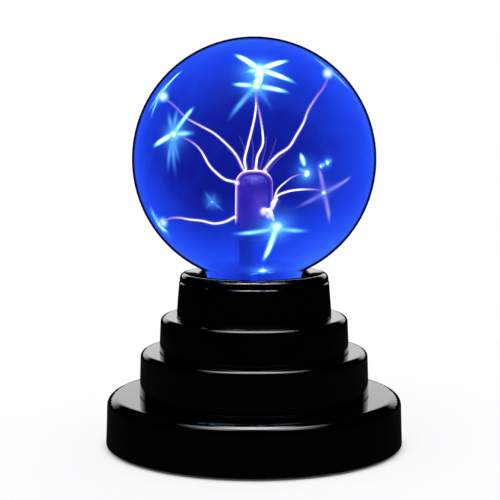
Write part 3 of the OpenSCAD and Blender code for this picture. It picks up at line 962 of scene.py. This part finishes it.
# Points of each streamer, with the run where it starts to turn violet and its relative width.
STREAMERS = {
    "streamer_left_high": (
        [
            (-3.5, 2, -3), (-5.5, 2.5, 1), (-8, 3, 4), (-12.5, 3.5, 8),
            (-17, 4, 10.5), (-21.5, 5, 13), (-25, 5.5, 16.5), (-30, 6.5, 20.5),
        ],
        0.45,
        1.0,
    ),
    "streamer_left": (
        [
            (-5.5, -2, -7), (-9, -4.5, -6), (-12, -7.5, -3.5), (-14, -10.5, -1),
            (-16, -15, 3), (-18, -19, 5.5), (-21, -23, 7.5), (-23.6, -26.4, 8.5),
        ],
        0.5,
        1.1,
    ),
    "streamer_low_left": (
        [
            (-6, 0, -18), (-9, -0.5, -19.5), (-12.5, -2, -20), (-16.5, -3.5, -19),
            (-20, -5, -18.5), (-23.5, -6.5, -17.8), (-26.5, -8, -18), (-29.3, -9.5, -19.8),
        ],
        0.6,
        1.1,
    ),
    "streamer_top": (
        [
            (-2.5, -1, -3), (-3, -3, 0), (-2, -7, 4.5), (-1, -11, 8.5),
            (0, -16, 13), (0.5, -21.5, 17), (0.5, -26.5, 21), (0.5, -28, 23),
            (1, -26, 25), (1.5, -24, 27),
        ],
        0.96,
        1.1,
    ),
    "streamer_top_second": (
        [
            (0.5, 1, -3), (1, -2.5, 1), (2.5, -6.5, 4.5), (2.7, -9.5, 7),
            (2.3, -14.5, 10.5), (1.6, -19.5, 14.5), (0.7, -25, 18.5), (0.5, -28, 22),
        ],
        0.45,
        1.1,
    ),
    "streamer_right_high": (
        [
            (3, 0, -3.5), (5, 0, -1), (7.5, 0, 1.5), (11, 0, 4),
            (13.5, 0.5, 8), (15.5, 0.5, 11.5), (17, 0.5, 15.5), (19.5, 1, 19.5),
            (22, 1, 23), (23.8, 1, 27.8),
        ],
        0.5,
        1.15,
    ),
    "streamer_right_back": (
        [
            (6.3, -1, -12.5), (7.5, 7, -10), (10, 13, -8), (13, 21, -6.5),
            (16, 27.5, -6), (17.7, 31.5, -6),
        ],
        0.35,
        0.8,
    ),
    "streamer_right": (
        [
            (5.3, -2, -14), (7.2, -4, -11.2), (10.5, -8, -9.5), (14, -15, -8.5),
            (17.5, -22, -8), (19.5, -27, -8), (20.4, -29.2, -8.5),
        ],
        0.55,
        1.05,
    ),
    "streamer_low_front": (
        [
            (2.8, -5.4, -15.6), (4.2, -7, -15.4), (5, -11, -15.6), (5.5, -17, -16.8),
            (6, -24, -18), (6.3, -30.8, -18.8),
        ],
        0.95,
        2.0,
    ),
    "streamer_link": (
        [
            (6.9, -3.4, -11.8), (6.2, -3.6, -13.4), (5.5, -4.6, -14.9), (4.4, -5.2, -15.6),
            (3.2, -5.4, -15.8),
        ],
        0.95,
        2.2,
    ),
}

# Directions of the stars at which no streamer ends: just above the rim, and faintly at the back.
ABOVE_RIM = on_glass(10, math.degrees(math.asin((rim_top + 2 * MM - centre.z) / inner_r)), 1)
AT_BACK = on_glass(-155, -25, 1)
RIGHT_BACK = streamer_end("streamer_right_back")


def beside_right_back(heading, distance):
    """Direction that many mm along the glass from the star at the right, at the back."""
    return along_glass(RIGHT_BACK, heading, distance, inner_r / MM).normalized()


# Direction, core radius, (halo radius, brightness), rays of (heading, length, brightness, peak).
STARS = {
    "star_top": (
        streamer_end("streamer_top"),
        2.7,
        (14, 0.34),
        [
            (-36, 11.5, 1, 0.6), (55, 11, 1, 0.55), (110, 11, 0.95, 0.5), (186, 8, 1.3, 0.5),
            (-100, 5, 0.7, 0.3),
        ],
    ),
    "star_top_low": (
        streamer_end("streamer_top_second"),
        1.9,
        (9, 0.25),
        [
            (-80, 7, 0.75, 0.6), (98, 9.5, 0.8, 0.6), (-142, 13, 0.45, 0.55), (150, 9, 0.3, 0.4),
            (10, 5, 0.9, 0.3),
        ],
    ),
    "star_left_high": (
        streamer_end("streamer_left_high"),
        2.3,
        (10, 0.32),
        [
            (-10, 10, 0.8, 0.7), (145, 8, 0.5, 0.5), (-165, 9, 0.55, 0.5), (-90, 6, 0.6, 0.5),
            (60, 5, 0.5, 0.4),
        ],
    ),
    "star_left": (
        streamer_end("streamer_left"),
        1.8,
        (11, 0.32),
        [
            (-35, 8.5, 0.4, 0.5), (-8, 8.5, 0.4, 0.5), (31, 9.5, 0.7, 0.75), (85, 7.5, 0.6, 0.5),
            (-112, 9.5, 0.85, 0.6), (-172, 11, 0.4, 0.5), (172, 12, 0.4, 0.4), (158, 9, 0.34, 0.5),
        ],
    ),
    "star_low_left": (
        streamer_end("streamer_low_left"),
        2.2,
        (10, 0.32),
        [
            (15, 7.5, 0.55, 0.5), (45, 6, 0.35, 0.5), (115, 6, 0.75, 0.4), (-170, 4, 0.5, 0.4),
            (-15, 7, 0.4, 0.5),
        ],
    ),
    "star_right_high": (
        streamer_end("streamer_right_high"),
        2.3,
        (11, 0.32),
        [
            (-8, 7.5, 0.85, 0.5), (-168, 9, 0.85, 0.5), (170, 4, 0.6, 0.5),
        ],
    ),
    "star_right_back": (
        RIGHT_BACK,
        1.15,
        (9, 0.3),
        [
            (60, 4, 0.4, 0.5),
        ],
    ),
    "star_right_leaf": (
        beside_right_back(20, 4.5),
        0.55,
        (3.5, 0.25),
        [
            (22, 3, 0.9, 0.3), (-158, 2.2, 0.8, 0.4),
        ],
    ),
    "star_right_bead": (
        beside_right_back(-65, 6),
        0.55,
        (3.5, 0.25),
        [
            (-65, 2.6, 0.5, 0.4),
        ],
    ),
    "star_right_far_bead": (
        beside_right_back(-65, 9),
        0.7,
        (4, 0.3),
        [
            (-65, 2.6, 0.4, 0.4),
        ],
    ),
    "star_low_front": (
        streamer_end("streamer_low_front"),
        2.0,
        (12, 0.34),
        [
            (-106, 12.5, 0.6, 0.6), (103, 11, 0.52, 0.5), (187, 14.5, 0.8, 0.6), (-40, 3.5, 0.5, 0.5),
        ],
    ),
    "star_bottom": (
        ABOVE_RIM,
        1.3,
        (9, 0.32),
        [
            (-150, 8, 0.36, 0.5), (130, 6, 0.36, 0.5),
        ],
    ),
    "star_far": (
        AT_BACK,
        0.25,
        (5.5, 0.3),
        [
            (30, 4.5, 0.3, 0.4), (-135, 5, 0.3, 0.4), (130, 4, 0.25, 0.4), (-30, 3.5, 0.22, 0.4),
        ],
    ),
}

ROSE_STARS = {
    "star_right": (
        streamer_end("streamer_right"),
        1.1,
        (8, 0.26),
        [
            (70, 11.5, 0.6, 0.75), (152, 12, 0.62, 0.6), (-118, 10.5, 0.5, 0.4), (-20, 9, 0.6, 0.6),
        ],
    ),
}

CYAN_STOPS = [
    (0.0, (0.025, 0.12, 1.0)),
    (0.3, (0.08, 0.36, 1.0)),
    (0.6, (0.22, 0.7, 1.0)),
    (0.95, (0.8, 1.0, 1.0)),
]
ROSE_STOPS = [
    (0.0, (0.025, 0.12, 1.0)),
    (0.3, (0.16, 0.2, 1.0)),
    (0.65, (0.38, 0.3, 1.0)),
    (1.0, (0.95, 0.92, 1.0)),
]


gas_bottom = 44 * MM


def gas_profile(inset):
    """Outline of the globe's outside, moved in by inset, from the neck up to the top."""
    r = globe_r - inset
    curve_r = neck_r + neck_curve
    drop = math.sqrt((globe_r + neck_curve) ** 2 - curve_r**2)
    lean = math.degrees(math.acos(curve_r / (globe_r + neck_curve)))
    curve = arc(curve_r, centre.z - drop, neck_curve + inset, 180, 180 - lean, 14)
    ball = arc(0, centre.z, r, -lean, 90, 110)
    return [(neck_r - inset, gas_bottom), *curve, *ball[1:-1], (0, centre.z + r)]


def ball_material(name, stops):
    """Ball that is white in the middle and fades out softly to its edge."""

    def surface(tree):
        middle = maths(tree, "POWER", maths(tree, "SUBTRACT", 1.0, facing(tree)), 6.0)
        return mixed(tree, middle, clear(tree), glowing(tree, ramp(tree, middle, stops), 1.4))

    return new_material(name, surface)


CYAN_BALL = [(0.0, (0.03, 0.24, 1.0)), (0.45, (0.25, 0.75, 1.0)), (0.85, (0.9, 1.0, 1.0))]
ROSE_BALL = [(0.0, (0.12, 0.1, 1.0)), (0.35, (0.7, 0.45, 1.0)), (0.75, (1.0, 0.95, 1.0))]

# Soft balls of light on the electrode: millimetres from the globe's centre, and radius.
SPARKS = {
    "spark_left": ((-5.4, -2.4, -7.2), 1.5),
    "spark_low_left": ((-5.9, -0.6, -18.2), 1.0),
    "spark_top_left": ((-2.9, -1.5, -3.4), 1.3),
    "spark_top": ((0.5, -0.5, -3.2), 1.3),
    "spark_top_right": ((3.4, -0.4, -3.8), 1.3),
    "spark_front": ((3.0, -5.6, -15.9), 2.3),
    "spark_front_low": ((4.6, -5.4, -17.2), 1.9),
}


# Faint threads above the electrode, from and to in millimetres from the globe's centre.
WISPS = [
    ((-3.6, -2, -3.2), (-8.5, -5, 3.5)),
    ((-2.2, -3, -2.8), (-4.6, -6, 7.5)),
    ((-0.6, -3, -2.6), (-1.0, -7, 8)),
    ((1.8, -3, -2.8), (3.9, -7, 7.5)),
    ((3.2, -3, -3.2), (6.8, -6, 6.5)),
    ((4.2, -2, -3.6), (9.5, -5, 2.0)),
]


def make_wisps():
    """Faint violet threads that never reach the glass."""

    def surface(tree):
        return mixed(tree, 0.16, clear(tree), glowing(tree, (0.35, 0.2, 1.0), 1.0))

    def radius(run):
        return (0.26 - 0.14 * run) * MM

    faint = new_material("wisp", surface)
    for number, (root, tip) in enumerate(WISPS):
        bend = (Vector(root) + Vector(tip)) / 2 + Vector((0.5, 0, 0.8))
        path = smooth_path([centre + Vector(p) * MM for p in (root, bend, tip)])
        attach(tube(f"wisp_{number + 1}", path, radius, faint, 8), "base")


def make_gas():
    """The glow of the gas, the streamers, and the light where they land and start."""
    far = lathe("far_gas", gas_profile(0.5 * MM), far_gas(), inward=True)
    near = lathe("near_gas", gas_profile(0.45 * MM), near_gas())
    for film in (far, near):
        film.visible_glossy = False
        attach(film, "base")
    core, haze = streamer_core(), streamer_haze()
    for name, (points, fade, width) in STREAMERS.items():
        streamer(name, points, fade, width, core, haze)
    cyan = star_material("star_cyan", CYAN_STOPS, 3.8)
    rose = star_material("star_rose", ROSE_STOPS, 2.1)
    cyan_ball = ball_material("cyan_ball", CYAN_BALL)
    rose_ball = ball_material("rose_ball", ROSE_BALL)
    for table, material in ((STARS, cyan), (ROSE_STARS, rose)):
        for name, (middle, core_r, halo, rays) in table.items():
            star(name, middle, core_r, halo, rays, material)
            glow_ball(name + "_ball", just_inside(middle, core_r * 0.65), core_r * 1.2, cyan_ball)
    for name, (place, size) in SPARKS.items():
        glow_ball(name, place, size, rose_ball)


def electrode_glass():
    """Inner tube: clear, with a faint blue glow painted on its edge."""

    def surface(tree):
        # Painted blue glow where the tube is seen edge on.
        edge = soft_step(tree, facing(tree), 0.5, 1.0, 0.0, 0.25)
        return mixed(tree, edge, clear(tree, (0.93, 0.94, 1.0)), glowing(tree, (0.02, 0.03, 0.5), 1.0))

    return new_material("electrode_glass", surface)


SHEATH_STOPS = [
    (0.0, (0.05, 0.02, 0.55)),
    (0.3, (0.2, 0.08, 0.85)),
    (0.6, (0.75, 0.42, 1.0)),
    (0.95, (1.0, 0.92, 1.0)),
]


def sheath_glow():
    """Discharge that hugs the tube: pinkish white on its top and left side, violet on the right."""

    def surface(tree):
        place = node(tree, "SeparateXYZ", {0: own_place(tree)}).outputs
        lit = soft_step(tree, place["Z"], 70 * MM, 75.5 * MM)
        crown = soft_step(tree, place["Z"], 83.5 * MM, 87.5 * MM)
        left = soft_step(tree, place["X"], 4 * MM, -5 * MM)
        hot = maths(tree, "MAXIMUM", crown, product(tree, left, 0.8))
        edge = maths(tree, "POWER", facing(tree), 2.0)
        heat = product(tree, edge, soft_step(tree, hot, 0.0, 1.0, 0.62, 1.25))
        share = product(tree, soft_step(tree, heat, 0.02, 0.55), lit, 0.8)
        strength = soft_step(tree, heat, 0.2, 1.0, 0.8, 2.2)
        return mixed(tree, share, clear(tree), glowing(tree, ramp(tree, heat, SHEATH_STOPS), strength))

    made = new_material("sheath_glow", surface)
    made.use_backface_culling = True
    return made


def make_sheath():
    """Two thin films just outside the tube, so that its outline glows thickly."""
    glow = sheath_glow()
    top_r, dome = 5.65 * MM, 4 * MM
    low, high = 66 * MM, 74 * MM
    for name, off in (("sheath_inner", 0.08 * MM), ("sheath_outer", 0.22 * MM)):
        side = [(tube_r - 0.15 * MM + off, low), (tube_r - 0.25 * MM + off, high)]
        cap = arc(top_r - dome, tube_top - dome, dome + off, 0, 90, 20)
        profile = [*side, *cap, (0, tube_top + off)]
        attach(lathe(name, profile, glow, turns=96), "base")


def electrode_wire():
    """Packed wire in the discharge: dark violet with lit strands, the discharge's light painted on as a
    violet glow in clouds that grows towards the top.
    """

    def surface(tree):
        strands = noise(tree, 900, 4, 0.7)
        cloud = noise(tree, 160, 3)
        limits = {"Value": own_axis(tree, "Z"), "From Min": 66 * MM, "From Max": 88 * MM}
        top = node(tree, "MapRange", limits).outputs[0]
        # Painted violet glow: in clouds, and brighter towards the top.
        painted_glow_level = maths(tree, "ADD", product(tree, cloud, 0.8), product(tree, top, 0.3))
        violets = [(0.3, (0.012, 0.008, 0.26)), (0.55, (0.045, 0.018, 0.5)), (0.9, (0.2, 0.07, 0.85))]
        return principled(
            tree,
            {
                "Base Color": (0.1, 0.1, 0.12),
                "Metallic": 1.0,
                "Roughness": 0.5,
                "Emission Color": ramp(tree, painted_glow_level, violets),
                "Emission Strength": 0.9,
                "Normal": bump(tree, strands, 0.3 * MM),
            },
        )

    return new_material("electrode_wire", surface)


# Everything ------------------------------------------------------------------

scene.view_settings.view_transform = "Standard"
# A line of sight crosses up to about thirty clear films of glass, gas and light.
scene.cycles.transparent_max_bounces = 32
make_camera()
make_floor()
make_world()
make_lamp("key", (-0.5, -0.6, 0.9))
make_lamp("back", (0.4, 0.7, 0.9))

black = gloss_black()
for moulding in ("collar_rim", "collar", "middle_tier", "lower_tier", "base_housing"):
    dress(moulding, black)
dress("globe", globe_glass())
dress("electrode_tube", electrode_glass())
dress("electrode_core", electrode_wire())
dress_the_rest()
make_cells()
make_sheath()
make_gas()
make_wisps()
